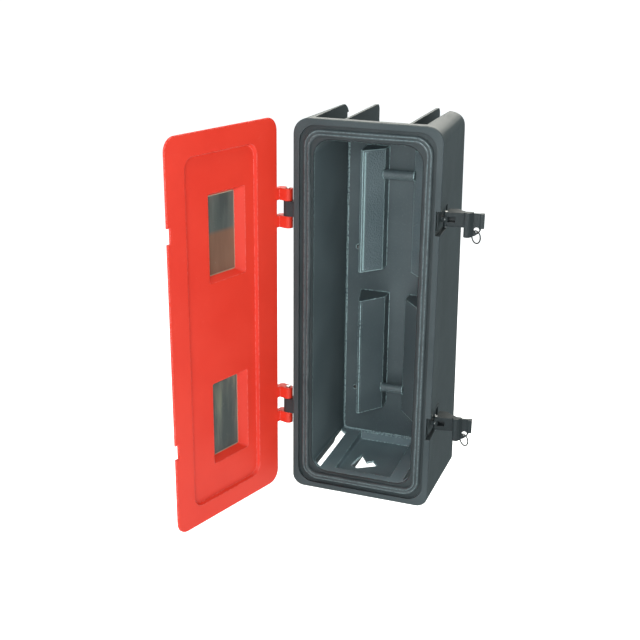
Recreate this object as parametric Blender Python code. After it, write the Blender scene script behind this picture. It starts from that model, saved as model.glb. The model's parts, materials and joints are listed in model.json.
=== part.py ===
"""Moulded plastic fire-extinguisher box: black body, red windowed door, two hook latches.

Metres, +Z up.  The origin is the middle of the flat rear face that goes against the wall
(y = 0).  The open front faces -Y.  "Depth" below means the distance behind the front rim.
The door is modelled shut and then swung to its rest angle about the hinge pins.
"""
import math

import bmesh
import bpy
from mathutils import Matrix, Vector

# ---- driving dimensions -------------------------------------------------------------
WIDTH, HEIGHT, DEPTH = 0.264, 0.700, 0.205
CORNER, LOW_CORNER, REAR_CORNER = 0.028, 0.022, 0.009    # outline corners: top, bottom, bottom rear
TOP_DRAFT, LOW_DRAFT = 0.0115, 0.001       # how much each side draws in toward the wall
WALL = 0.004                      # moulded wall thickness
GAP = 0.0003                      # clearance between pieces that touch
ARC = 8                           # segments in a quarter turn

RIM = 0.011                       # flat outer rim around the front
LAND_DEPTH = 0.005                # step behind the rim that carries the seal
SEAL_IN, SEAL_WIDTH, SEAL_HEIGHT = 0.0175, 0.0125, 0.0044
MOUTH_IN = 0.036                  # inset of the tub mouth from the outline
TUB_DEPTH, TUB_CORNER, TUB_BACK_CORNER = 0.187, 0.030, 0.010
TUB_DRAFT_X, TUB_DRAFT_Z = 0.003, 0.006
FLANGE = 0.016                    # front flange, behind which the roof is stepped down
RECESS_HALF = 0.098               # half width of the stepped roof and underside
UNDERSIDE = 0.329                 # drop from the middle to the stepped underside
TOP_ROUND, BOTTOM_ROUND = 0.038, 0.012     # rounding of the rear top and bottom corners
CRADLE_X = 0.014                  # the ribs, ridges and bars stand around this plane
RIB_OUT, RIB_THICK, RIB_ROUND = 0.057, 0.005, 0.012
PANEL_HALF_X, PANEL_HALF_Z = 0.088, 0.255
BOLT_X, BOLT_Z, BOLT_RADIUS = -0.070, (0.078, -0.214), 0.0042

UPPER_RIDGE_Z = (0.046, 0.276)
LOWER_RIDGE_Z = (-0.238, -0.007)
BAR_RADIUS, BAR_DEPTH = 0.009, 0.160
BAR_Z, BAR_HALF = (0.230, -0.193), (0.030, 0.0225)
TRAY_HALF, TRAY_Z = 0.054, -0.325
SLOT_X, SLOT_DEPTH = (0.081, 0.092), (0.014, 0.168)

HINGE_Z = (0.1875, -0.1910)
HINGE_OUT, HINGE_DEPTH = 0.014, 0.013      # pin axis, outward of the side and behind the rim
BARREL, KNUCKLE_HALF, ARM_END, PIN_RADIUS = 0.0085, 0.0136, 0.0355, 0.003
DOOR_OPEN = math.radians(108)              # rest angle of the door; 0 is shut

DOOR_WIDTH, DOOR_HEIGHT, DOOR_SKIN, DOOR_CORNER = 0.270, 0.698, 0.004, 0.024
DOOR_FACE = 0.0005                # inner flange face in front of the rim
PAN_X, PAN_Z, PAN_STEP = (-0.078, 0.094), (-0.312, 0.310), 0.006
WINDOW_X, WINDOW_Z, WINDOW_SIZE = -0.008, (0.1645, -0.1725), (0.088, 0.152)
WINDOW_DEPTH, WINDOW_DRAFT, PANE_LEDGE, PANE_THICK = 0.0145, (0.010, 0.006), 0.002, 0.002

LATCH_Z = (0.1915, -0.1880)
LATCH_OUT, LATCH_DEPTH = 0.003, 0.026      # pin axis, outward of the side and behind the rim
LATCH_TILT = math.radians(8)               # rest angle of a lever, measured back from +X
LATCH_PIN, LATCH_BARREL = 0.002, 0.0045
SOCKET_IN, SOCKET_Z, SOCKET_DEPTH = 0.008, (-0.0245, 0.0175), 0.062
ARM_HALF, ARM_THIN, FORK = 0.0125, 0.002, 0.0045   # lever half height, half thickness, half slot
HOOK, HOOK_Z, REACH = (0.031, 0.0465), (-0.028, 0.0145), 0.065
NOTCH_HALF, NOTCH_IN = 0.0133, 0.0075
EYE_ALONG, EYE_DROP, EYE_RADIUS, EYE_THICK = 0.0525, 0.0157, 0.0046, 0.003
RING_RADIUS, RING_WIRE, RING_DROP = 0.0107, 0.0012, 0.0021
SCREW_DEPTHS, SCREW_SHANK, SCREW_HEAD = (0.040, 0.052), 0.0017, 0.004


def at_depth(depth):
    """World y of a point so far behind the front rim."""
    return depth - DEPTH


# ---- modelling helpers --------------------------------------------------------------
def finish(name, bm, smooth=30):
    """Turn a bmesh into a named object with outward faces."""
    bmesh.ops.remove_doubles(bm, verts=bm.verts, dist=1e-6)
    bmesh.ops.recalc_face_normals(bm, faces=bm.faces)
    mesh = bpy.data.meshes.new(name)
    bm.to_mesh(mesh)
    bm.free()
    mesh.shade_smooth()
    mesh.set_sharp_from_angle(angle=math.radians(smooth))
    obj = bpy.data.objects.new(name, mesh)
    bpy.context.scene.collection.objects.link(obj)
    return obj


def loft(name, rings, closed=False):
    """Skin a stack of equal-sized point rings, capped unless the stack closes on itself."""
    bm = bmesh.new()
    rows = [[bm.verts.new(point) for point in ring] for ring in rings]
    pairs = list(zip(rows, rows[1:])) + ([(rows[-1], rows[0])] if closed else [])
    for low, high in pairs:
        for i in range(len(low)):
            j = (i + 1) % len(low)
            bm.faces.new((low[i], low[j], high[j], high[i]))
    if not closed:
        bm.faces.new(rows[0])
        bm.faces.new(rows[-1])
    return finish(name, bm)


def rounded_rect(x0, x1, z0, z1, radius, y):
    """Ring of points around an upright rounded rectangle at one y."""
    centres = [(x1 - radius, z1 - radius, 0), (x0 + radius, z1 - radius, 90),
               (x0 + radius, z0 + radius, 180), (x1 - radius, z0 + radius, 270)]
    ring = []
    for cx, cz, start in centres:
        for k in range(ARC + 1):
            angle = math.radians(start + 90 * k / ARC)
            ring.append(Vector((cx + radius * math.cos(angle), y, cz + radius * math.sin(angle))))
    return ring


def side_x(depth, z):
    """Half width of the body so far behind the front rim, at one height."""
    draft = LOW_DRAFT + (TOP_DRAFT - LOW_DRAFT) * (z / HEIGHT + 0.5)
    return WIDTH / 2 - draft * depth / DEPTH


def body_ring(inset, depth, radius, draft=0.0):
    """Rounded rectangle that runs around the body, inset from its outline."""
    half_x, half_z = WIDTH / 2 - inset - draft, HEIGHT / 2 - inset
    return rounded_rect(-half_x, half_x, -half_z, half_z, radius, at_depth(depth))


def prism(name, outline, axis, low, high):
    """Extrude a flat outline along an axis; the outline's pair fills the other two axes."""
    def place(pair, along):
        point = list(pair)
        point.insert(axis, along)
        return Vector(point)
    return loft(name, [[place(pair, along) for pair in outline] for along in (low, high)])


def block(name, x, y, z):
    """Box between pairs of limits."""
    outline = [(x[0], y[0]), (x[1], y[0]), (x[1], y[1]), (x[0], y[1])]
    return prism(name, outline, 2, z[0], z[1])


def circle(centre, radius, count=4 * ARC, start=0.0, turn=2 * math.pi):
    """Points along a circle, or along an arc when turn is less than a full turn."""
    steps = count if turn >= 2 * math.pi else count - 1
    return [(centre[0] + radius * math.cos(start + turn * k / steps),
             centre[1] + radius * math.sin(start + turn * k / steps)) for k in range(count)]


def rod(name, axis, centre, radius, low, high, count=4 * ARC):
    """Cylinder along an axis; centre fills the other two axes."""
    return prism(name, circle(centre, radius, count), axis, low, high)


def combine(target, tools, operation):
    """Apply a boolean with each tool in turn and remove the tool."""
    for tool in tools:
        modifier = target.modifiers.new("combine", "BOOLEAN")
        modifier.operation = operation
        modifier.object = tool
        graph = bpy.context.evaluated_depsgraph_get()
        result = bpy.data.meshes.new_from_object(target.evaluated_get(graph))
        target.modifiers.clear()
        target.data = result
        bpy.data.objects.remove(tool)
    bm = bmesh.new()
    bm.from_mesh(target.data)
    bmesh.ops.remove_doubles(bm, verts=bm.verts, dist=2e-6)
    bmesh.ops.dissolve_limit(bm, angle_limit=math.radians(0.1), verts=bm.verts, edges=bm.edges)
    bm.to_mesh(target.data)
    bm.free()
    target.data.shade_smooth()
    target.data.set_sharp_from_angle(angle=math.radians(30))
    return target


def join(target, *tools):
    return combine(target, tools, "UNION")


def cut(target, *tools):
    return combine(target, tools, "DIFFERENCE")


def material(name, colour, roughness, metallic=0.0, transmission=0.0):
    """Principled material shared by the pieces made of it."""
    made = bpy.data.materials.new(name)
    made.use_nodes = True
    shader = made.node_tree.nodes["Principled BSDF"]
    shader.inputs["Base Color"].default_value = (*colour, 1.0)
    shader.inputs["Roughness"].default_value = roughness
    shader.inputs["Metallic"].default_value = metallic
    shader.inputs["Transmission Weight"].default_value = transmission
    return made


def dress(obj, finish_material):
    obj.data.materials.clear()
    obj.data.materials.append(finish_material)
    return obj


def pivot_at(obj, matrix, parent):
    """Parent an object whose mesh is in world coordinates to an empty standing at matrix."""
    obj.data.transform(matrix.inverted())
    obj.parent = parent
    return obj


def pivot(name, matrix, parent=None):
    """Empty on a joint's axis."""
    empty = bpy.data.objects.new(name, None)
    bpy.context.scene.collection.objects.link(empty)
    empty.parent = parent
    empty.matrix_basis = matrix
    return empty


# ---- body ---------------------------------------------------------------------------
def side_profile(front, top, bottom):
    """Outline in (y, z) from a front depth to the wall, with rounded rear corners."""
    half = HEIGHT / 2
    points = [(at_depth(front), -half), (at_depth(front), half)]
    points += circle((-top, half - top), top, ARC + 1, math.pi / 2, -math.pi / 2)
    return points + circle((-bottom, bottom - half), bottom, ARC + 1, 0.0, -math.pi / 2)


def outline_ring(inset, top_draft, low_draft, low_radius, depth):
    """Ring around the body whose sides may lean and whose lower corners have their own radius."""
    top, low, half = WIDTH / 2 - inset - top_draft, WIDTH / 2 - inset - low_draft, HEIGHT / 2 - inset
    radius = CORNER - inset
    corners = [(top - radius, half - radius, radius, 0.0), (radius - top, half - radius, radius, 0.5),
               (low_radius - low, low_radius - half, low_radius, 1.0),
               (low - low_radius, low_radius - half, low_radius, 1.5)]
    return [Vector((x, at_depth(depth), z)) for cx, cz, bend, start in corners
            for x, z in circle((cx, cz), bend, ARC + 1, math.pi * start, math.pi / 2)]


def outer_block():
    """Full outline of the body with its rear top and bottom corners rounded away."""
    shell = loft("cabinet_body", [outline_ring(0.0012, 0, 0, LOW_CORNER - 0.0012, 0),
                                  outline_ring(0, 0, 0, LOW_CORNER, 0.0015),
                                  outline_ring(0, TOP_DRAFT, LOW_DRAFT, REAR_CORNER, DEPTH)])
    rounding = prism("rounding", side_profile(-0.01, TOP_ROUND, BOTTOM_ROUND), 0, -WIDTH, WIDTH)
    return combine(shell, [rounding], "INTERSECT")


def rear_hollows():
    """Stepped roof and underside, side pockets, thinned corners and the space behind the tub."""
    roof = HEIGHT / 2 - MOUTH_IN + WALL
    front, back = at_depth(FLANGE), 0.01
    slope = [(front, roof), (back, roof - 0.008), (back, HEIGHT), (front, HEIGHT)]
    tools = [prism("roof step", slope, 0, -RECESS_HALF, RECESS_HALF),
             block("floor step", (-RECESS_HALF, RECESS_HALF), (front, back), (-HEIGHT, -UNDERSIDE))]
    inner = WIDTH / 2 - MOUTH_IN + WALL
    for side in (1, -1):
        levels = []
        for z in (-0.330, 0.300):
            plan = [(side_x(0.020, z) - WALL, 0.020), (side_x(DEPTH + back, z) - WALL, DEPTH + back),
                    (inner, DEPTH + back), (inner, 0.020)]
            levels.append([Vector((side * x, at_depth(depth), z)) for x, depth in plan])
        tools.append(loft("pocket", levels))
        corner = [(0.116, -0.360), (0.116, -0.3405), (0.1215, -0.333), (0.1215, -0.325),
                  (inner + 0.001, -0.325), (inner + 0.001, -0.299), (0.0965, -0.3035), (0.0855, -0.3125),
                  (0.058, -0.3175), (0.058, -0.360)]
        tools.append(prism("corner", [(side * x, z) for x, z in corner], 1, front, back))
    behind = at_depth(TUB_DEPTH + WALL)
    tools.append(block("behind", (-0.106, 0.106), (behind, back), (-0.332, 0.332)))
    return tools


def rear_structure():
    """Standing ribs, rear panel with bolt bosses, and pads behind the latch sockets."""
    behind = at_depth(TUB_DEPTH + 0.002)
    parts = []
    for side in (-1, 1):
        x = CRADLE_X + side * RIB_OUT
        parts.append(prism("rib", side_profile(0.008, RIB_ROUND, RIB_ROUND), 0,
                           x - RIB_THICK / 2, x + RIB_THICK / 2))
    parts.append(block("panel", (-PANEL_HALF_X, PANEL_HALF_X), (-WALL, 0),
                       (-PANEL_HALF_Z, PANEL_HALF_Z)))
    parts += [rod("boss", 1, (BOLT_X, z), 0.011, behind, -0.001, 3 * ARC) for z in BOLT_Z]
    for z in LATCH_Z:
        x = (WIDTH / 2 - 0.013, side_x(SOCKET_DEPTH, z) - 0.001)
        tall = (z + SOCKET_Z[0] - WALL, z + SOCKET_Z[1] + WALL)
        parts.append(block("pad", x, (at_depth(0.008), at_depth(SOCKET_DEPTH + WALL)), tall))
    return parts


def hinge_knuckles():
    """Barrels on the left side that the door's arms close around."""
    axis = (-WIDTH / 2 - HINGE_OUT, at_depth(HINGE_DEPTH))
    outline = circle(axis, BARREL, 2 * ARC + 1, math.pi / 2, math.pi)
    outline += [(-WIDTH / 2 + 0.003, axis[1] - BARREL), (-WIDTH / 2 + 0.003, axis[1] + 0.014)]
    return [prism("knuckle", outline, 2, z - KNUCKLE_HALF, z + KNUCKLE_HALF) for z in HINGE_Z]


def tub():
    """Drafted cavity with a softened edge where it meets its back."""
    ease = TUB_DRAFT_X - TUB_DRAFT_Z
    rings = [body_ring(MOUTH_IN, -0.001, TUB_CORNER),
             body_ring(MOUTH_IN + TUB_DRAFT_Z, TUB_DEPTH - 0.002, TUB_BACK_CORNER, ease),
             body_ring(MOUTH_IN + TUB_DRAFT_Z + 0.002, TUB_DEPTH, TUB_BACK_CORNER - 0.002, ease)]
    return loft("tub", rings)


def seal_land():
    """Step behind the rim and the softened lip of the tub mouth."""
    return [loft("land", [body_ring(RIM, -0.001, TUB_CORNER), body_ring(RIM, LAND_DEPTH, TUB_CORNER)]),
            loft("lip", [body_ring(MOUTH_IN - 0.003, LAND_DEPTH - 0.001, TUB_CORNER + 0.003),
                         body_ring(MOUTH_IN + 0.0002, LAND_DEPTH + 0.003, TUB_CORNER)])]


def ridges(rear, shrink=1.0, end=0.0):
    """Two pairs of standing V ridges, or their cores when shrunk about the middle of their feet."""
    upper = [(0.070, TUB_DEPTH), (0.065, 0.130), (0.060, 0.127), (0.028, 0.163), (0.0275, TUB_DEPTH)]
    lower = [(0.0765, TUB_DEPTH), (0.060, 0.120), (0.055, 0.117), (0.020, 0.161), (0.0195, TUB_DEPTH)]
    parts = []
    for side in (-1, 1):
        for outline, span in ((upper, UPPER_RIDGE_Z), (lower, LOWER_RIDGE_Z)):
            middle = (outline[0][0] + outline[-1][0]) / 2
            scaled = [(middle + (x - middle) * shrink, TUB_DEPTH + (depth - TUB_DEPTH) * (3 + shrink) / 4)
                      for x, depth in outline]
            scaled += [(scaled[-1][0], rear), (scaled[0][0], rear)]
            plan = [(CRADLE_X + side * x, at_depth(depth)) for x, depth in scaled]
            parts.append(prism("ridge", plan, 2, span[0] + end, span[1] - end))
    return parts


def floor_cuts():
    """Sunk floor tray, slots beside the rails and the drain opening."""
    tray = rounded_rect(-TRAY_HALF, TRAY_HALF, TRAY_Z, TRAY_Z + 0.06, 0.004, 0)
    tray = [(point.x, point.z) for point in tray]
    tools = [prism("tray", tray, 1, at_depth(0.024), at_depth(TUB_DEPTH - 0.004))]
    depths = [at_depth(depth) for depth in SLOT_DEPTH]
    tools += [block("slot", sorted((side * SLOT_X[0], side * SLOT_X[1])), depths, (-0.345, -0.295))
              for side in (-1, 1)]
    drain = [(-0.038, 0.066), (-0.022, 0.058), (0.012, 0.080), (-0.002, 0.098),
             (-0.012, 0.088), (-0.030, 0.116)]
    tools.append(prism("drain", [(x, at_depth(depth)) for x, depth in drain], 2, -0.345, -0.31))
    return tools


def fastener_holes():
    """Bar sockets, latch sockets, screw holes, bolt holes and hinge pin holes."""
    outer = WIDTH / 2
    tools = [rod("bar socket", 0, (at_depth(BAR_DEPTH), z), BAR_RADIUS + GAP,
                 CRADLE_X - half - GAP, CRADLE_X + half + GAP) for z, half in zip(BAR_Z, BAR_HALF)]
    for z in LATCH_Z:
        tools.append(block("socket", (outer - SOCKET_IN, outer + 0.01),
                           (at_depth(-0.01), at_depth(SOCKET_DEPTH)), (z + SOCKET_Z[0], z + SOCKET_Z[1])))
        for depth in SCREW_DEPTHS:
            tools.append(rod("screw hole", 0, (at_depth(depth), z), SCREW_SHANK + GAP,
                             outer - 0.02, outer, 2 * ARC))
    tools += [rod("bolt hole", 1, (BOLT_X, z), BOLT_RADIUS, at_depth(TUB_DEPTH - 0.01), 0.01, 4 * ARC)
              for z in BOLT_Z]
    axis = (-outer - HINGE_OUT, at_depth(HINGE_DEPTH))
    for z in HINGE_Z:
        tools.append(rod("pin hole", 2, axis, PIN_RADIUS + GAP, z - 0.03, z + 0.03, 3 * ARC))
    return tools


def cabinet_body():
    body = cut(outer_block(), *rear_hollows())
    join(body, *rear_structure(), *hinge_knuckles())
    cut(body, tub(), *seal_land())
    join(body, *ridges(TUB_DEPTH + 0.002))
    return cut(body, *ridges(TUB_DEPTH + 0.006, 0.78, 0.004), *floor_cuts(), *fastener_holes())


def door_seal():
    """Closed loop of D-section rubber that stands on the seal land."""
    base, crown = LAND_DEPTH - GAP, LAND_DEPTH - GAP - SEAL_HEIGHT
    section = [(0, base), (0, base - 0.0012), (0.10, base - 0.0024), (0.28, crown + 0.0004),
               (0.45, crown), (0.62, crown + 0.0004), (0.80, base - 0.0024), (1, base - 0.0010), (1, base)]
    rings = [body_ring(SEAL_IN + across * SEAL_WIDTH, depth, TUB_CORNER + 0.002 - across * 0.004)
             for across, depth in section]
    return loft("door_seal", rings, closed=True)


def strap_bar(name, z, half):
    """Round bar across the recess between two ridges, with chamfered ends."""
    ends = ((-half, 0.001), (0.001 - half, 0), (half - 0.001, 0), (half, 0.001))
    rings = [[Vector((CRADLE_X + x, y, height)) for y, height in
              circle((at_depth(BAR_DEPTH), z), BAR_RADIUS - less, 3 * ARC)] for x, less in ends]
    return loft(name, rings)


# ---- door, modelled shut -------------------------------------------------------------
def door_ring(inset, depth, radius):
    """Rounded rectangle around the door's outline; the door starts at the hinge side face."""
    x0 = -WIDTH / 2
    half = DOOR_HEIGHT / 2 - inset
    return rounded_rect(x0 + inset, x0 + DOOR_WIDTH - inset, -half, half, radius, at_depth(depth))


def pan_ring(grow, depth, radius=0.020):
    """Rounded rectangle around the raised pan in the door."""
    return rounded_rect(PAN_X[0] - grow, PAN_X[1] + grow, PAN_Z[0] - grow, PAN_Z[1] + grow,
                        radius, at_depth(depth))


def window_ring(z, grow, depth, draft=0.0, radius=0.004):
    """Rounded rectangle around a window, drawn in by a share of the window's draft."""
    half_x = WINDOW_SIZE[0] / 2 + grow - draft * WINDOW_DRAFT[0]
    half_z = WINDOW_SIZE[1] / 2 + grow - draft * WINDOW_DRAFT[1]
    return rounded_rect(WINDOW_X - half_x, WINDOW_X + half_x, z - half_z, z + half_z, radius,
                        at_depth(depth))


def hinge_arm_outline():
    """Plan of a door arm: along the flange, around the corner and back to the barrel."""
    side, front = -WIDTH / 2, at_depth(-DOOR_FACE)
    axis = (side - HINGE_OUT, at_depth(HINGE_DEPTH))
    outline = [(side + 0.016, front), (axis[0] + BARREL, front)]
    outline += circle(axis, BARREL, 2 * ARC + 1, 0.0, math.pi)
    outline += [(axis[0] - BARREL, front - 0.003), (axis[0] - BARREL + 0.005, front - 0.0085),
                (side + 0.012, front - 0.0085), (side + 0.016, front - 0.003)]
    return outline


def latch_notches():
    """Openings in the free edge that the latch arms pass through."""
    free = -WIDTH / 2 + DOOR_WIDTH
    return [block("notch", (free - NOTCH_IN, free + 0.01), (at_depth(-0.03), at_depth(0.01)),
                  (z - NOTCH_HALF, z + NOTCH_HALF)) for z in LATCH_Z]


def door_panel():
    """Single-skin door: flange, raised pan, two window boxes, hinge arms and latch notches."""
    skin, face = DOOR_SKIN, DOOR_FACE
    pan = face + PAN_STEP
    deep = pan + WINDOW_DEPTH + PANE_THICK + GAP
    door = loft("door_panel", [door_ring(0.001, -face, DOOR_CORNER - 0.001),
                               door_ring(0, -face - 0.001, DOOR_CORNER),
                               door_ring(0, -face - skin + 0.001, DOOR_CORNER),
                               door_ring(0.001, -face - skin, DOOR_CORNER - 0.001)])
    outer = [loft("pan outside", [pan_ring(skin + 0.002, -face - 0.002), pan_ring(skin, -pan - skin)])]
    inner = [loft("pan inside", [pan_ring(0.0015, 0.001), pan_ring(-0.0015, -pan)])]
    for z in WINDOW_Z:
        outer.append(loft("box outside", [window_ring(z, skin, -pan - 0.002),
                                          window_ring(z, skin, -deep - 0.003, 1)]))
        inner.append(loft("box inside", [window_ring(z, 0.001, -pan + 0.001, -0.1, 0.003),
                                         window_ring(z, 0, -pan - WINDOW_DEPTH, 1, 0.003),
                                         window_ring(z, 0, -deep, 1, 0.003)]))
        inner.append(loft("opening", [window_ring(z, -PANE_LEDGE, depth, 1, 0.003)
                                      for depth in (-deep + 0.002, -deep - 0.01)]))
    arms = []
    for z in HINGE_Z:
        for side in (-1, 1):
            span = sorted((z + side * (KNUCKLE_HALF + GAP), z + side * ARM_END))
            arms.append(prism("arm", hinge_arm_outline(), 2, *span))
    axis = (-WIDTH / 2 - HINGE_OUT, at_depth(HINGE_DEPTH))
    holes = [rod("pin hole", 2, axis, PIN_RADIUS + GAP, z - 0.05, z + 0.05, 3 * ARC) for z in HINGE_Z]
    join(door, *outer, *arms)
    return cut(door, *inner, *latch_notches(), *holes)


def window_pane(name, z):
    """Clear sheet resting on the ledge at the bottom of a window box."""
    top = DOOR_FACE + PAN_STEP + WINDOW_DEPTH
    rings = [window_ring(z, -GAP, -top - GAP, 1, 0.003),
             window_ring(z, -GAP, -top - PANE_THICK, 1, 0.003)]
    return loft(name, rings)


def hinge_pin(name, z):
    """Headed steel pin through a hinge; the head sits above the upper arm."""
    axis = (-WIDTH / 2 - HINGE_OUT, at_depth(HINGE_DEPTH))
    stack = [(z - 0.0352, PIN_RADIUS - 0.0005), (z - 0.0347, PIN_RADIUS), (z + ARM_END + GAP, PIN_RADIUS),
             (z + ARM_END + GAP, 0.0046), (z + ARM_END + 0.0013, 0.0046), (z + ARM_END + 0.0020, 0.0036)]
    rings = [[Vector((x, y, height)) for x, y in circle(axis, radius, 3 * ARC)]
             for height, radius in stack]
    return loft(name, rings)


# ---- latches ------------------------------------------------------------------------
def latch_axis():
    return WIDTH / 2 + LATCH_OUT, at_depth(LATCH_DEPTH)


def latch_bracket(name, z):
    """Plate in the side socket with a middle knuckle for the lever's pin."""
    floor = WIDTH / 2 - SOCKET_IN + GAP
    plate = block(name, (floor, floor + 0.003), (at_depth(0.004), at_depth(0.058)),
                  (z - 0.0165, z + 0.0165))
    x, y = latch_axis()
    outline = circle((x, y), LATCH_BARREL, 2 * ARC + 1, -math.pi / 2, math.pi)
    outline += [(floor + 0.001, y + LATCH_BARREL + 0.006), (floor + 0.001, y - LATCH_BARREL)]
    half = FORK - GAP
    knuckle = prism("knuckle", outline, 2, z - half, z + half)
    join(plate, knuckle)
    holes = [rod("hole", 0, (at_depth(depth), z), SCREW_SHANK + GAP, floor - 0.01, floor + 0.01, 2 * ARC)
             for depth in SCREW_DEPTHS]
    return cut(plate, rod("pin hole", 2, (x, y), LATCH_PIN + GAP, z - 0.02, z + 0.02, 3 * ARC), *holes)


def latch_screw(name, z, depth):
    """Pan-head screw with a cross recess, pointing into the side."""
    seat = WIDTH / 2 - SOCKET_IN + 2 * GAP + 0.003
    stack = [(seat - 0.0115, 0.0006), (seat - 0.0100, SCREW_SHANK), (seat, SCREW_SHANK),
             (seat, SCREW_HEAD), (seat + 0.0010, SCREW_HEAD - 0.0002), (seat + 0.0020, SCREW_HEAD - 0.0014)]
    rings = [[Vector((x, y, height)) for y, height in circle((at_depth(depth), z), radius, 2 * ARC)]
             for x, radius in stack]
    screw = loft(name, rings)
    y = at_depth(depth)
    bars = [((y - 0.0018, y + 0.0018), (z - 0.0004, z + 0.0004)),
            ((y - 0.0004, y + 0.0004), (z - 0.0018, z + 0.0018))]
    return cut(screw, *[block("cross", (seat + 0.0011, seat + 0.01), across, up) for across, up in bars])


def latch_pin(name, z):
    """Rivet pin through a lever's fork, headed at both ends."""
    shank = ARM_HALF + GAP
    stack = [(-shank - 0.0013, 0.0022), (-shank - 0.0006, 0.0033), (-shank, 0.0033), (-shank, LATCH_PIN),
             (shank, LATCH_PIN), (shank, 0.0033), (shank + 0.0006, 0.0033), (shank + 0.0013, 0.0022)]
    rings = [[Vector((x, y, z + height)) for x, y in circle(latch_axis(), radius, 2 * ARC)]
             for height, radius in stack]
    return loft(name, rings)


def lever_outline():
    """Plan of the lever in (along, toward the door): barrel, curved rear web, arm and grip."""
    thin, bead, grip = ARM_THIN, 0.0045, REACH - 0.008
    outline = circle((0, 0), LATCH_BARREL, 2 * ARC + 1, math.pi / 2 - 0.55, math.pi + 0.30)
    outline += [(0.0012, -0.0075), (0.0030, -0.0228), (0.0048, -0.0245), (0.0180, -0.0245),
                (0.0205, -0.0232), (0.0245, -0.0180), (0.0300, -0.0122), (0.0375, -0.0064),
                (HOOK[1] - 0.001, -thin - 0.0005)]
    outline += [(grip, -thin), (grip + 0.002, -bead), (REACH - 0.001, -bead), (REACH, 0.001 - bead),
                (REACH, bead - 0.001), (REACH - 0.001, bead), (grip + 0.002, bead), (grip, thin)]
    return outline + [(HOOK[1] - 0.001, thin)]


def hook_outline():
    """Plan of the half-round hook bar in (along, toward the door)."""
    low, high = HOOK
    nose = circle((low + 0.006, 0.005), 0.006, ARC + 4, math.pi, -0.88 * math.pi)
    return [(high, -ARM_THIN), (low, -ARM_THIN)] + nose + [(high, 0.0035)]


def latch_lever(name, z):
    """Forked arm, hook bar that bears on the door, grip and the seal ring's eye.

    It is modelled at the pin with its arm along +X and the door side toward -Y.
    """
    def plan(points):
        return [(along, -toward) for along, toward in points]

    lever = prism(name, plan(lever_outline()), 2, z - ARM_HALF, z + ARM_HALF)
    bar = prism("hook", plan(hook_outline()), 2, z + HOOK_Z[0], z + HOOK_Z[1])
    eye = [(0.0450, -0.010), (0.0450, -0.0270), (0.0490, -0.0268), (0.0565, -0.0215), (0.0600, -0.0155),
           (0.0600, -0.010)]
    join(lever, bar, prism("eye", [(along, z + up) for along, up in eye], 1, -EYE_THICK / 2, EYE_THICK / 2))
    slot = block("fork", (-0.01, 0.016), (-0.01, 0.01), (z - FORK, z + FORK))
    pin = rod("pin hole", 2, (0, 0), LATCH_PIN + GAP, z - 0.03, z + 0.03, 3 * ARC)
    eye_hole = rod("eye hole", 1, (EYE_ALONG, z - EYE_DROP), EYE_RADIUS, -0.02, 0.02, 3 * ARC)
    cut(lever, slot, pin, eye_hole)
    x, y = latch_axis()
    lever.data.transform(Matrix.Translation((x, y, 0)) @ Matrix.Rotation(LATCH_TILT, 4, "Z"))
    return lever


def ring_frame(z):
    """Top of a seal ring in its eye: X runs along the wire there, Z is up."""
    x, y = latch_axis()
    top = z - EYE_DROP - RING_DROP
    lever = Matrix.Translation((x, y, 0)) @ Matrix.Rotation(LATCH_TILT, 4, "Z")
    return (lever @ Matrix.Translation((EYE_ALONG, 0, top))
            @ Matrix.Rotation(math.radians(-45), 4, "Z"))


def seal_ring(name, z):
    """Wire ring hanging through the eye of a lever."""
    rings = []
    for k in range(4 * ARC):
        angle = 2 * math.pi * k / (4 * ARC)
        out = Vector((math.sin(angle), 0, math.cos(angle)))
        centre = out * RING_RADIUS - Vector((0, 0, RING_RADIUS))
        rings.append([centre + out * a + Vector((0, b, 0))
                      for a, b in circle((0, 0), RING_WIRE, ARC)])
    ring = loft(name, rings, closed=True)
    ring.data.transform(ring_frame(z))
    return ring


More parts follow.
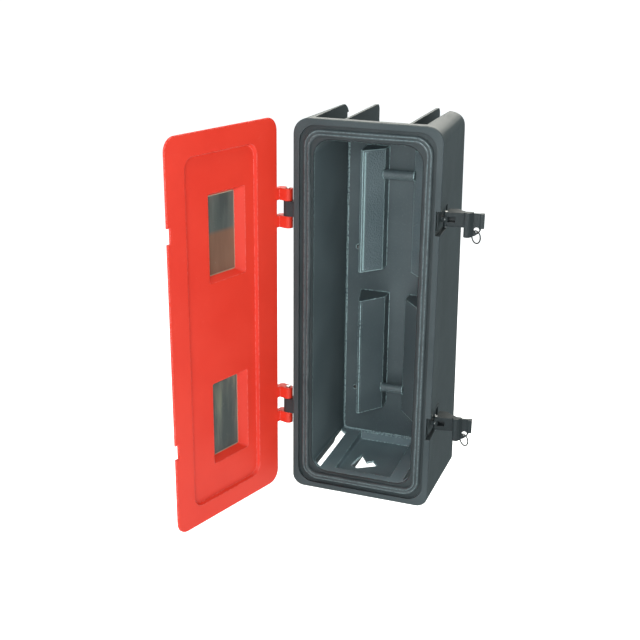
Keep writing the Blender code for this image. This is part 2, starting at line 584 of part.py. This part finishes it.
# ---- assembly -----------------------------------------------------------------------
def build():
    for obj in list(bpy.data.objects):
        bpy.data.objects.remove(obj)
    black = material("black moulded plastic", (0.030, 0.036, 0.040), 0.42)
    red = material("red moulded plastic", (0.80, 0.055, 0.030), 0.38)
    rubber = material("black rubber", (0.022, 0.024, 0.026), 0.62)
    steel = material("zinc plated steel", (0.62, 0.62, 0.60), 0.30, 1.0)
    dark_steel = material("dark plated steel", (0.10, 0.10, 0.10), 0.35, 1.0)
    clear = material("smoked clear pane", (0.20, 0.21, 0.18), 0.10, 0.0, 0.5)

    dress(cabinet_body(), black)
    dress(door_seal(), rubber)
    hinge = pivot("door_hinge", Matrix.Translation((-WIDTH / 2 - HINGE_OUT, at_depth(HINGE_DEPTH), 0)))
    door_pieces = [dress(door_panel(), red)]
    levels = zip(("upper", "lower"), BAR_Z, BAR_HALF, WINDOW_Z, HINGE_Z, LATCH_Z)
    for label, bar_z, bar_half, window_z, hinge_z, latch_z in levels:
        dress(strap_bar(f"strap_bar_{label}", bar_z, bar_half), black)
        door_pieces.append(dress(window_pane(f"window_pane_{label}", window_z), clear))
        dress(hinge_pin(f"hinge_pin_{label}", hinge_z), steel)
        dress(latch_bracket(f"latch_bracket_{label}", latch_z), black)
        dress(latch_pin(f"latch_pin_{label}", latch_z), steel)
        for place, depth in zip(("front", "rear"), SCREW_DEPTHS):
            dress(latch_screw(f"latch_screw_{label}_{place}", latch_z, depth), steel)
        axis = Matrix.Translation((*latch_axis(), latch_z))
        lever_pivot = pivot(f"lever_pivot_{label}", axis)
        pivot_at(dress(latch_lever(f"latch_lever_{label}", latch_z), black), axis, lever_pivot)
        ring_axis = ring_frame(latch_z)
        ring_pivot = pivot(f"ring_pivot_{label}", axis.inverted() @ ring_axis, lever_pivot)
        pivot_at(dress(seal_ring(f"seal_ring_{label}", latch_z), dark_steel), ring_axis, ring_pivot)
    for piece in door_pieces:
        pivot_at(piece, hinge.matrix_basis, hinge)
    hinge.rotation_euler.z = -DOOR_OPEN


build()
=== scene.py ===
"""Looks for the fire-extinguisher cabinet: black moulded body, red windowed door, hook latches."""
import json
import math

import bmesh
import bpy
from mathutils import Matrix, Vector


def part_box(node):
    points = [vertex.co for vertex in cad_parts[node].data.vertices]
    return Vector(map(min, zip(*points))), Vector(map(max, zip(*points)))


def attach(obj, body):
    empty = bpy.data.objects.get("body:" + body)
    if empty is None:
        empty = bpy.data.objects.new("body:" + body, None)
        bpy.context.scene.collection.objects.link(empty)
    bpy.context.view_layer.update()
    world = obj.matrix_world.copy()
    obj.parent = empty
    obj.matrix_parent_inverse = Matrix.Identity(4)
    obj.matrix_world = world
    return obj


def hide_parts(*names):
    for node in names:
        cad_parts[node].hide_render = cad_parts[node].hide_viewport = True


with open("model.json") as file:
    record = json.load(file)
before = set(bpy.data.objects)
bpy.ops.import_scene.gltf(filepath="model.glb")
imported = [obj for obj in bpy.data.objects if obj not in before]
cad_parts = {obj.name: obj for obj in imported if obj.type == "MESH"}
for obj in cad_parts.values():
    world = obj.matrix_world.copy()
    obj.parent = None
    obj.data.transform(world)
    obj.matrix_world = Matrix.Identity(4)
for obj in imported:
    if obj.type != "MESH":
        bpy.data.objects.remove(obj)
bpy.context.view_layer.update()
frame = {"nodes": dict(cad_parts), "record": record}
NODES = frame["nodes"]
BODY_OF = {node: body for body, nodes in frame["record"]["behaviour"]["bodies"].items() for node in nodes}
SLOTS = {entry["node"]: entry["material_slot"] for entry in frame["record"]["subparts"]}

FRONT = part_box("cabinet_body")[0].y          # y of the front rim
RIM_THICK = 0.004                            # how far behind the rim a face still belongs to it
TUB_HALF_X = 0.0975                          # the tub, with a little room round it
TUB_FRONT, TUB_REAR = 0.0065, 0.1885         # depths behind the rim
TUB_LOW, TUB_HIGH = -0.331, 0.3155
TUB_FLOOR, TUB_CEILING = -0.303, 0.300       # heights beyond which a face is floor or ceiling
CRADLE_X, CRADLE_HALF = 0.014, 0.068         # middle plane of the ridges, and half their spread
CRADLE_LOW, CRADLE_HIGH = 0.044, 0.290       # heights of the upper, pebbled ridges
CRADLE_FRONT = 0.118                         # depth at which they begin
SEAL_CORNER = 0.032
SEAL_LIPS = (3, 9)                           # strips of the seal's section painted with a pale highlight
SEAL_SECTION = (                             # distance inward, then height as a share of the seal's
    (0.0, 0.0), (0.0002, 0.32), (0.0010, 0.66), (0.0024, 0.90), (0.0040, 0.97), (0.0052, 0.86),
    (0.0060, 0.62), (0.0066, 0.60), (0.0072, 0.74), (0.0084, 0.95), (0.0100, 1.0),
    (0.0114, 0.90), (0.0122, 0.62), (0.0125, 0.28), (0.0125, 0.0))
LIP_START, LIP_WIDTH = 0.0050, 0.0075        # the part of the section that wanders
RIVET_RADIUS = 0.0017
FLOOR_Z, FLOOR_HALF = -0.80, 60.0
BACKDROP_RADIUS, BACKDROP_HEIGHT = 38.0, 60.0


# ---- meshes -------------------------------------------------------------------------
def finish_mesh(name, bm, smooth=32):
    """Object from a bmesh, with outward faces and sharp edges kept."""
    bmesh.ops.recalc_face_normals(bm, faces=bm.faces)
    mesh = bpy.data.meshes.new(name)
    bm.to_mesh(mesh)
    bm.free()
    mesh.shade_smooth()
    mesh.set_sharp_from_angle(angle=math.radians(smooth))
    obj = bpy.data.objects.new(name, mesh)
    bpy.context.scene.collection.objects.link(obj)
    return obj


def flatten_shading(mesh, limit=40):
    """Corner normals weighted by face area, so the large faces shade flat up to their edges."""
    around = [[] for _ in mesh.vertices]
    for face in mesh.polygons:
        for vertex in face.vertices:
            around[vertex].append((face.normal.copy(), face.area))
    near, normals = math.cos(math.radians(limit)), []
    for face in mesh.polygons:
        for vertex in face.vertices:
            alike = [normal * area for normal, area in around[vertex] if normal.dot(face.normal) > near]
            normals.append(sum(alike, Vector()).normalized())
    mesh.normals_split_custom_set(normals)


def refine(node, width, segments=2, angle=24, shortest=0.003):
    """A copy of a CAD node with its triangles merged into faces and its edges rounded."""
    bm = bmesh.new()
    bm.from_mesh(NODES[node].data)
    bmesh.ops.remove_doubles(bm, verts=bm.verts, dist=1e-5)
    bmesh.ops.dissolve_limit(bm, angle_limit=math.radians(0.6), verts=bm.verts, edges=bm.edges)
    edges = [e for e in bm.edges if len(e.link_faces) == 2 and e.calc_face_angle(0) > math.radians(angle)
             and e.calc_length() > shortest]
    bmesh.ops.bevel(bm, geom=edges, offset=width, segments=segments, profile=0.5, affect="EDGES",
                    clamp_overlap=True)
    piece = finish_mesh(node + "_shape", bm)
    flatten_shading(piece.data)
    return piece


def sweep(name, rows):
    """Closed skin over a loop of closed sections."""
    bm = bmesh.new()
    made = [[bm.verts.new(point) for point in row] for row in rows]
    for a, b in zip(made, made[1:] + made[:1]):
        for i in range(len(a)):
            j = (i + 1) % len(a)
            bm.faces.new((a[i], a[j], b[j], b[i]))
    return finish_mesh(name, bm, 50)


def dome(name, centre, radius):
    """Small round rivet head."""
    bm = bmesh.new()
    bmesh.ops.create_icosphere(bm, subdivisions=3, radius=radius)
    bmesh.ops.translate(bm, verts=bm.verts, vec=centre)
    return finish_mesh(name, bm)


def stand_for(obj, node):
    """The piece rides with the node's body and is shown in its place."""
    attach(obj, BODY_OF[node])
    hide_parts(node)
    return obj


def dress(obj, *materials):
    """Puts the materials on in slot order, in place of any that are there."""
    if obj.data.materials:
        obj.data.materials.clear()
    for material in materials:
        obj.data.materials.append(material)


# ---- materials ----------------------------------------------------------------------
class Recipe:
    """Small helper to write a node material."""

    def __init__(self, name):
        self.material = bpy.data.materials.new(name)
        self.material.use_nodes = True
        self.tree = self.material.node_tree
        self.shader = self.tree.nodes["Principled BSDF"]
        self.place = self.node("ShaderNodeTexCoord").outputs["Object"]

    def feed(self, socket, value):
        if isinstance(value, bpy.types.NodeSocket):
            self.tree.links.new(value, socket)
        else:
            socket.default_value = value

    def node(self, kind, **inputs):
        made = self.tree.nodes.new(kind)
        for key, value in inputs.items():
            self.feed(made.inputs[key], value)
        return made

    def set(self, **inputs):
        for key, value in inputs.items():
            self.feed(self.shader.inputs[key.replace("_", " ")], value)

    def noise(self, scale, detail=3.0, rough=0.55, stretch=(1, 1, 1)):
        place = self.node("ShaderNodeMapping", Vector=self.place, Scale=stretch).outputs["Vector"]
        return self.node("ShaderNodeTexNoise", Vector=place, Scale=scale, Detail=detail,
                         Roughness=rough).outputs["Fac"]

    def ramp(self, value, low, high, start, end):
        """Maps value from low..high to start..end, clamped."""
        made = self.node("ShaderNodeMapRange", Value=value)
        for key, number in (("From Min", low), ("From Max", high), ("To Min", start), ("To Max", end)):
            made.inputs[key].default_value = number
        return made.outputs["Result"]

    def math(self, operation, *values):
        made = self.tree.nodes.new("ShaderNodeMath")
        made.operation = operation
        for socket, value in zip(made.inputs, values):
            self.feed(socket, value)
        return made.outputs["Value"]

    def mix(self, factor, first, second):
        made = self.node("ShaderNodeMix")
        made.data_type = "RGBA"
        colours = [socket for socket in made.inputs if socket.type == "RGBA"]
        self.feed(made.inputs["Factor"], factor)
        for socket, value in zip(colours, (first, second)):
            self.feed(socket, (*value, 1.0) if isinstance(value, tuple) else value)
        return next(socket for socket in made.outputs if socket.type == "RGBA")

    def relief(self, *layers, radius):
        """Stacks bump layers (height, distance, strength) on softened edges."""
        normal = self.node("ShaderNodeBevel", Radius=radius).outputs["Normal"]
        for height, distance, strength in layers:
            normal = self.node("ShaderNodeBump", Height=height, Distance=distance, Strength=strength,
                               Normal=normal).outputs["Normal"]
        self.set(Normal=normal)


def edge_highlight_mask(r, radius, cover):
    """0..1 broken mask along the edges where a pale highlight is painted; cover is how much of the line
    shows.
    """
    soft = r.node("ShaderNodeBevel", Radius=radius).outputs["Normal"]
    bend = r.node("ShaderNodeVectorMath", Vector=r.node("ShaderNodeNewGeometry").outputs["Normal"])
    bend.operation = "DOT_PRODUCT"
    r.feed(bend.inputs[1], soft)
    line = r.ramp(bend.outputs["Value"], 0.992, 0.93, 0, 1)
    dots = r.ramp(r.noise(260.0, 2.0), 0.56 - 0.2 * cover, 0.64 - 0.2 * cover, 0, 1)
    return r.math("MULTIPLY", line, dots)


def black_plastic(name, light=1.0, pebbles=False, highlight_cover=0.0):
    """Satin black with a faint teal cast; the pebbled version is coarse and speckled.

    The last argument sets how much of a painted pale highlight line shows along the edges. light
    multiplies the base colour; the body's zone copies use it to paint light or shade.
    """
    r = Recipe(name)
    cloud, speck = r.noise(9.0, 2.0), r.noise(420.0, 2.0)
    # light scales both tones: painted light or shade for the zone copies
    dark = tuple(light * c for c in (0.044, 0.058, 0.063))
    pale = tuple(light * c for c in (0.058, 0.074, 0.079))
    base = r.mix(r.ramp(cloud, 0.35, 0.65, 0, 1), dark, pale)
    base = r.mix(r.ramp(speck, 0.60, 0.78, 0, 0.5), base, tuple(1.5 * c for c in pale))
    if pebbles:
        cells = r.node("ShaderNodeTexVoronoi", Vector=r.place, Scale=330.0).outputs["Distance"]
        base = r.mix(r.ramp(cells, 0.25, 0.0, 0, 0.5), base, (0.13, 0.19, 0.195))
        r.relief((cells, 0.0011, 0.75), (r.noise(700.0, 2.0), 0.0004, 0.5), radius=0.0016)
    else:
        r.relief((r.noise(30.0, 2.0), 0.0010, 0.20), (r.noise(900.0, 2.0), 0.0002, 0.35), radius=0.0016)
    if highlight_cover:
        # painted highlight: pale teal broken line along the edges
        base = r.mix(edge_highlight_mask(r, 0.0026, highlight_cover), base, (0.66, 0.92, 0.92))
    r.set(Base_Color=base, Roughness=r.ramp(cloud, 0.3, 0.7, 0.36, 0.46))
    r.shader.inputs["Specular IOR Level"].default_value = 0.5
    return r.material


def broken_painted_highlight(name, dull, bright, low, high):
    """Broken strip painted paler as a highlight, and a little shinier; low..high sets how much of it
    shows.
    """
    r = Recipe(name)
    dots = r.ramp(r.noise(230.0, 2.0), low, high, 0, 1)
    r.set(Base_Color=r.mix(dots, dull, bright), Roughness=r.ramp(dots, 0, 1, 0.42, 0.26))
    r.relief((r.noise(700.0, 2.0), 0.0002, 0.3), radius=0.0008)
    r.shader.inputs["Specular IOR Level"].default_value = 0.7
    return r.material


def red_plastic():
    """Satin red with slight waviness, faint pale scuffs and a painted pale highlight line along the edges.
    """
    r = Recipe("door_red")
    cloud = r.noise(7.0)
    base = r.mix(r.ramp(cloud, 0.35, 0.65, 0, 1), (0.73, 0.034, 0.016), (0.77, 0.042, 0.021))
    base = r.mix(r.ramp(r.noise(60.0, 4.0, 0.7), 0.66, 0.80, 0, 0.30), base, (0.82, 0.14, 0.10))
    # painted highlight: pale pink line along the edges
    painted_edge_highlight = r.ramp(edge_highlight_mask(r, 0.0018, 0.6), 0, 1, 0, 0.35)
    base = r.mix(painted_edge_highlight, base, (1.0, 0.42, 0.40))
    r.set(Base_Color=base, Roughness=r.ramp(cloud, 0.3, 0.7, 0.40, 0.48))
    r.relief((r.noise(18.0, 2.0), 0.0012, 0.22), (r.noise(1100.0, 2.0), 0.00015, 0.30), radius=0.0028)
    r.shader.inputs["Specular IOR Level"].default_value = 0.35
    return r.material


def rubber():
    """Dull black rubber, a little dusty."""
    r = Recipe("rubber_black")
    cloud = r.noise(40.0)
    base = r.mix(r.ramp(cloud, 0.35, 0.7, 0, 1), (0.050, 0.062, 0.066), (0.072, 0.088, 0.093))
    r.set(Base_Color=base, Roughness=r.ramp(cloud, 0.3, 0.7, 0.42, 0.55))
    r.relief((r.noise(600.0, 2.0), 0.0002, 0.3), radius=0.0006)
    r.shader.inputs["Specular IOR Level"].default_value = 0.4
    return r.material


def steel(name, dark, pale):
    """Plated steel between two greys."""
    r = Recipe(name)
    cloud = r.noise(160.0)
    base = r.mix(r.ramp(cloud, 0.3, 0.7, 0, 1), (dark,) * 3, (pale,) * 3)
    r.set(Base_Color=base, Roughness=r.ramp(cloud, 0.3, 0.7, 0.22, 0.38))
    r.shader.inputs["Metallic"].default_value = 1.0
    r.relief((r.noise(1500.0, 2.0), 0.0001, 0.25), radius=0.0004)
    return r.material


def pane_rim_highlight_mask(r, node):
    """Above 0 in a thin band along the cut edge of a pane, where a pale highlight is painted."""
    low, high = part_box(node)
    middle, half = (low + high) / 2, (high - low) / 2
    parts = r.node("ShaderNodeSeparateXYZ", Vector=r.place).outputs
    bands = []
    for index, axis in ((1, "Y"), (2, "Z")):     # the open door's panes stand nearly along Y
        distance = r.math("ABSOLUTE", r.math("SUBTRACT", parts[axis], middle[index]))
        bands.append(r.ramp(distance, half[index] - 0.0022, half[index] - 0.0012, 0, 0.55))
    return r.math("MAXIMUM", *bands)


def pane_material(label):
    """Smoked clear sheet: grey-green, with a painted brown reflection low on the upper pane and painted
    pale reflection streaks on the lower pane.
    """
    r = Recipe(f"smoked_pane_{label}")
    streak, fine = r.noise(14.0, 4.0, 0.6, (2.2, 2.2, 0.35)), r.noise(160.0, 4.0, 0.7)
    grey = r.mix(r.ramp(streak, 0.35, 0.7, 0, 1), (0.085, 0.098, 0.094), (0.17, 0.185, 0.165))
    if label == "upper":
        low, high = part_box("window_pane_upper")
        middle = low.z + 0.53 * (high.z - low.z)
        height = r.node("ShaderNodeSeparateXYZ", Vector=r.place).outputs["Z"]
        # painted reflection: brown lower part of the upper pane
        painted_reflection_brown = r.mix(r.ramp(streak, 0.3, 0.7, 0, 1), (0.20, 0.105, 0.072), (0.30, 0.17, 0.115))
        base = r.mix(r.ramp(height, middle - 0.004, middle + 0.004, 0, 1), painted_reflection_brown, grey)
    else:
        # painted reflection: pale olive streaks on the lower pane
        base = r.mix(r.ramp(streak, 0.5, 0.72, 0, 0.8), grey, (0.26, 0.28, 0.19))
    base = r.mix(r.ramp(fine, 0.66, 0.74, 0, 0.5), base, (0.40, 0.42, 0.38))
    # painted highlight: pale yellow line along the pane's cut edge
    base = r.mix(pane_rim_highlight_mask(r, f"window_pane_{label}"), base, (0.85, 0.74, 0.52))
    r.set(Base_Color=base, Roughness=r.ramp(fine, 0.4, 0.8, 0.08, 0.30))
    r.shader.inputs["Transmission Weight"].default_value = 0.25
    r.relief((fine, 0.0001, 0.2), radius=0.0004)
    return r.material


# Copies of one black plastic with painted lightness by zone: outer shell darkened (painted shade); tub
# inside, upper cradle and floor lightened (painted light, the floor most); front rim a little lighter than
# the shell. The inside copies also carry painted edge highlights.
BODY_PAINTED_LIGHTNESS = [black_plastic("body_black", 0.60), black_plastic("body_black_inner_painted_light", 1.8, highlight_cover=0.8),
              black_plastic("body_black_pebbled_painted_light", 2.9, pebbles=True, highlight_cover=1.7),
              black_plastic("body_black_floor_painted_light", 4.2, highlight_cover=0.4),
              black_plastic("body_black_rim_painted_light", 0.88)]
ZINC = steel("zinc_steel", 0.50, 0.70)
BY_SLOT = {"body_black": BODY_PAINTED_LIGHTNESS[0], "latch_black": black_plastic("latch_black", 0.42),
           "rubber": rubber(), "steel": ZINC, "dark_steel": steel("dark_steel", 0.05, 0.10),
           "door_red": red_plastic()}


# ---- pieces -------------------------------------------------------------------------
def in_tub(point):
    return (abs(point.x) < TUB_HALF_X and TUB_FRONT < point.y - FRONT < TUB_REAR
            and TUB_LOW < point.z < TUB_HIGH)


def on_upper_cradle(centre):
    return (abs(centre.x - CRADLE_X) < CRADLE_HALF and CRADLE_LOW < centre.z < CRADLE_HIGH
            and centre.y - FRONT > CRADLE_FRONT)


def painted_lightness_zone(face, corners):
    """Which painted-lightness copy of the black a face gets: 0 outside, 1 inside the tub, 2 on the upper
    cradle, 3 on the floor, 4 on the front rim.
    """
    centre, facing = face.center, face.normal
    if centre.y - FRONT < RIM_THICK and facing.y < -0.2:
        return 4
    on_roof = centre.z > TUB_CEILING and facing.z > 0.3
    underneath = centre.z < TUB_FLOOR and facing.z < -0.3
    if on_roof or underneath or not all(in_tub(corner) for corner in corners):
        return 0
    if centre.z < TUB_FLOOR:
        return 3
    return 2 if on_upper_cradle(centre) else 1


def body():
    piece = stand_for(refine("cabinet_body", 0.0012), "cabinet_body")
    # each face gets the zone copy of the black with its painted light or shade
    dress(piece, *BODY_PAINTED_LIGHTNESS)
    for face in piece.data.polygons:
        face.material_index = painted_lightness_zone(face, [piece.data.vertices[i].co for i in face.vertices])


def seal_path(low, high, radius, step=0.004):
    """Points and inward directions evenly spaced around a rounded rectangle."""
    path = []
    for turn, (cx, cz) in enumerate(((high.x - radius, high.z - radius), (low.x + radius, high.z - radius),
                                     (low.x + radius, low.z + radius), (high.x - radius, low.z + radius))):
        for k in range(15):
            angle = math.pi / 2 * (turn + k / 14)
            out = Vector((math.cos(angle), 0, math.sin(angle)))
            path.append((Vector((cx, 0, cz)) + out * radius, -out))
        across = high.x - low.x - 2 * radius if turn % 2 == 0 else high.z - low.z - 2 * radius
        along = Vector((-out.z, 0, out.x))
        count = int(across / step)
        path += [(path[-1][0] + along * (across * k / count), -out) for k in range(1, count)]
    return path


def seal():
    """Double-lipped rubber seal whose inner lip wanders a little; its two lip crowns carry a painted
    highlight.
    """
    low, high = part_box("door_seal")
    rows = []
    for point, inward in seal_path(low, high, SEAL_CORNER):
        rise = math.exp(-((point.z - 0.13) / 0.13) ** 2) * (0.0020 if point.x < 0 else 0.0006)
        wander = rise + 0.0004 * math.sin(point.z * 61 + point.x * 47) + 0.0003 * math.sin(point.z * 143)
        rows.append([Vector((point.x, high.y - height * (high.y - low.y), point.z))
                     + inward * (across + wander * max(0.0, (across - LIP_START) / LIP_WIDTH))
                     for across, height in SEAL_SECTION])
    piece = stand_for(sweep("door_seal_shape", rows), "door_seal")
    # painted highlight on the seal's lip crowns
    lip_highlight = broken_painted_highlight("seal_lip_painted_highlight", (0.05, 0.065, 0.07), (0.13, 0.18, 0.19), 0.35, 0.65)
    dress(piece, BY_SLOT["rubber"], lip_highlight)
    for face in piece.data.polygons:
        face.material_index = int(face.index % len(SEAL_SECTION) in SEAL_LIPS)


def plain_pieces():
    """Every other opaque node: edges rounded where they show, material by slot."""
    rounding = {"latch_bracket": 0.0004, "latch_screw": 0.00015, "door_panel": 0.0009}
    for node, slot in SLOTS.items():
        if slot not in BY_SLOT or node in ("cabinet_body", "door_seal"):
            continue
        width = next((w for key, w in rounding.items() if node.startswith(key)), None)
        piece = stand_for(refine(node, width), node) if width else NODES[node]
        # strap bars take the inside copy of the black, painted lighter like the tub
        dress(piece, BODY_PAINTED_LIGHTNESS[1] if node.startswith("strap_bar") else BY_SLOT[slot])


def rivets():
    """Bright rivet head on the knuckle between the fork's two prongs."""
    for label in ("upper", "lower"):
        low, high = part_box(f"latch_pin_{label}")
        middle = (low + high) / 2
        centre = middle + Vector((-0.0008, -0.0042, 0))
        piece = dome(f"latch_rivet_{label}", centre, RIVET_RADIUS)
        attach(piece, BODY_OF[f"latch_pin_{label}"])
        dress(piece, ZINC)


body()
seal()
plain_pieces()
rivets()
for label in ("upper", "lower"):
    dress(NODES[f"window_pane_{label}"], pane_material(label))


# ---- studio -------------------------------------------------------------------------
def pale_surface(name, tone, glow):
    """Even matt surface of the given grey that also glows a little."""
    r = Recipe(name)
    shade = r.ramp(r.noise(0.6, 2.0), 0.3, 0.7, 0, 1)
    r.set(Base_Color=r.mix(shade, (tone,) * 3, (min(1.0, tone + 0.02),) * 3))
    r.shader.inputs["Roughness"].default_value = 0.9
    r.shader.inputs["Emission Color"].default_value = (1, 1, 1, 1)
    r.shader.inputs["Emission Strength"].default_value = glow
    return r.material


def floor():
    bm = bmesh.new()
    bmesh.ops.create_grid(bm, x_segments=2, y_segments=2, size=FLOOR_HALF)
    bmesh.ops.translate(bm, verts=bm.verts, vec=(0, 0, FLOOR_Z))
    plane = finish_mesh("floor", bm)
    dress(plane, pale_surface("pale_floor", 0.93, 0.85))
    plane.visible_glossy = False


def backdrop():
    """Plain white surround beyond the floor; it is seen but gives no light."""
    bm = bmesh.new()
    bmesh.ops.create_cone(bm, cap_ends=False, segments=64, radius1=BACKDROP_RADIUS,
                          radius2=BACKDROP_RADIUS, depth=BACKDROP_HEIGHT)
    bmesh.ops.translate(bm, verts=bm.verts, vec=(0, 0, BACKDROP_HEIGHT / 2 - 1.0))
    wall = finish_mesh("backdrop", bm)
    dress(wall, pale_surface("pale_backdrop", 0.0, 1.0))
    wall.visible_diffuse = wall.visible_glossy = wall.visible_transmission = False
    wall.visible_shadow = False


def softbox(name, place, target, size, power, colour):
    light = bpy.data.lights.new(name, "AREA")
    light.shape = "RECTANGLE"
    light.size, light.size_y = size
    light.energy = power
    light.color = colour
    obj = bpy.data.objects.new(name, light)
    bpy.context.scene.collection.objects.link(obj)
    obj.location = place
    obj.rotation_euler = (Vector(target) - Vector(place)).to_track_quat("-Z", "Y").to_euler()


def lights():
    world = bpy.data.worlds.new("studio")
    bpy.context.scene.world = world
    world.use_nodes = True
    background = world.node_tree.nodes["Background"]
    background.inputs["Color"].default_value = (0.76, 0.93, 0.96, 1)
    background.inputs["Strength"].default_value = 0.30
    softbox("top_box", (0.1, 0.1, 1.9), (0, -0.1, 0), (1.2, 1.0), 30, (1.0, 0.97, 0.86))
    softbox("back_box", (-0.4, 2.6, 1.5), (0, 0, 0.3), (3.4, 1.0), 40, (1.0, 0.98, 0.90))
    softbox("front_box", (0.35, -2.7, 0.75), (0, 0, 0), (1.1, 1.1), 33, (0.93, 0.98, 1.0))
    softbox("left_box", (-1.7, -1.7, 0.6), (0, -0.1, 0), (0.6, 1.8), 30, (0.86, 0.98, 1.0))
    softbox("right_box", (1.8, -1.3, 0.6), (0, -0.1, 0), (0.6, 1.4), 5, (0.88, 0.98, 1.0))


def camera():
    made = bpy.data.cameras.new("camera")
    made.lens, made.sensor_width, made.clip_end = 61.193, 36.0, 200.0
    obj = bpy.data.objects.new("camera", made)
    scene = bpy.context.scene
    scene.collection.objects.link(obj)
    obj.location = (0.53835, -1.93525, 0.65522)
    obj.rotation_euler = [math.radians(angle) for angle in (70.098, -0.542, 19.860)]
    scene.camera = obj
    scene.view_settings.view_transform = "Standard"


floor()
backdrop()
lights()
camera()
